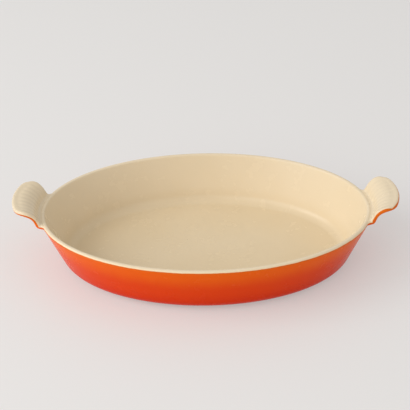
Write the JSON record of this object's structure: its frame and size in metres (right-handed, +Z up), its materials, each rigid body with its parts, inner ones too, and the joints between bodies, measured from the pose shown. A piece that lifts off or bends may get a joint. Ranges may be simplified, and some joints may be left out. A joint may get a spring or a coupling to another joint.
{
  "type": "gratin dish",
  "caption": "Oval gratin dish in enamelled cast iron, cream inside and flame outside, with a raised fluted lug at each end to lift it by.",
  "frame": {"origin": "on the table, under the middle of the dish", "axes": "+Z up, +X along the dish towards one lug, +Y across it"},
  "size_m": [0.371, 0.214, 0.0708],
  "materials": {
    "iron": "bare cast iron, matt grey, seen only on the foot ring's face",
    "ground_enamel": "dark brown ground coat of vitreous enamel, opaque, satin",
    "cream_enamel": "opaque cream vitreous enamel, satin gloss",
    "flame_enamel": "opaque orange vitreous enamel that shades to red towards the base, gloss"
  },
  "bodies": {
    "root": {"iron_casting": "iron", "ground_coat": "ground_enamel", "base_ground_coat": "ground_enamel", "inside_enamel": "cream_enamel", "outside_enamel": "flame_enamel", "base_enamel": "flame_enamel"}
  },
  "joints": []
}
